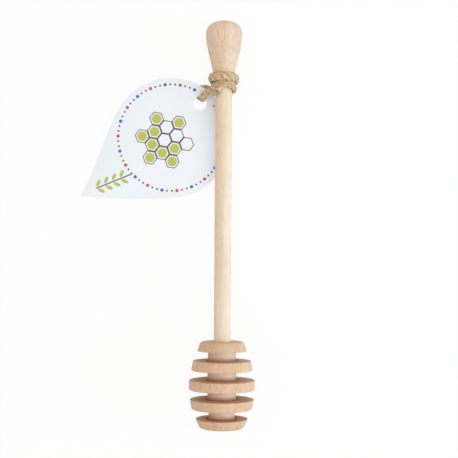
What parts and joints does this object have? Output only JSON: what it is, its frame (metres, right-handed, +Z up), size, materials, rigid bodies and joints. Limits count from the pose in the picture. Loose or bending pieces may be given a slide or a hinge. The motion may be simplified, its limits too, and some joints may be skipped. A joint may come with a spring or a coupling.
{
  "type": "honey spoon",
  "caption": "Turned beech honey spoon with a grooved head, a thin stick and a pear-shaped knob, and a drop-shaped card tag tied round its neck with jute twine.",
  "frame": {"origin": "bottom centre of the wooden spoon's box, on the surface that it lies on", "axes": "+Y towards the knob along the spoon, +X to the right seen from above, +Z up"},
  "size_m": [0.0749, 0.1702, 0.0273],
  "materials": {
    "beech_head": "bare turned beech, warm, fine flecks along the grain",
    "beech_stick": "bare sanded beech dowel, pale and even",
    "beech_knob": "bare turned beech, fine flecks along the grain",
    "jute": "twisted natural jute twine, matt and hairy",
    "card": null
  },
  "bodies": {
    "spoon": {"head": "beech_head", "stick": "beech_stick", "knob": "beech_knob"},
    "twine": {"twine_winding": "jute", "twine_tag_loop": "jute"},
    "swing_tag": {"tag": "card"}
  },
  "joints": [
    {"name": "twine_turn", "type": "hinge", "parent": "spoon", "child": "twine", "pos_m": [0, 0.0601, 0.00843], "axis": [0, 0.9992, -0.0411], "continuous": true},
    {"name": "tag_swing", "type": "hinge", "parent": "twine", "child": "swing_tag", "pos_m": [-0.0104, 0.0511, 0.0025], "axis": [-0.0228, -0.0275, 0.9994], "range_deg": [-45, 30]}
  ]
}
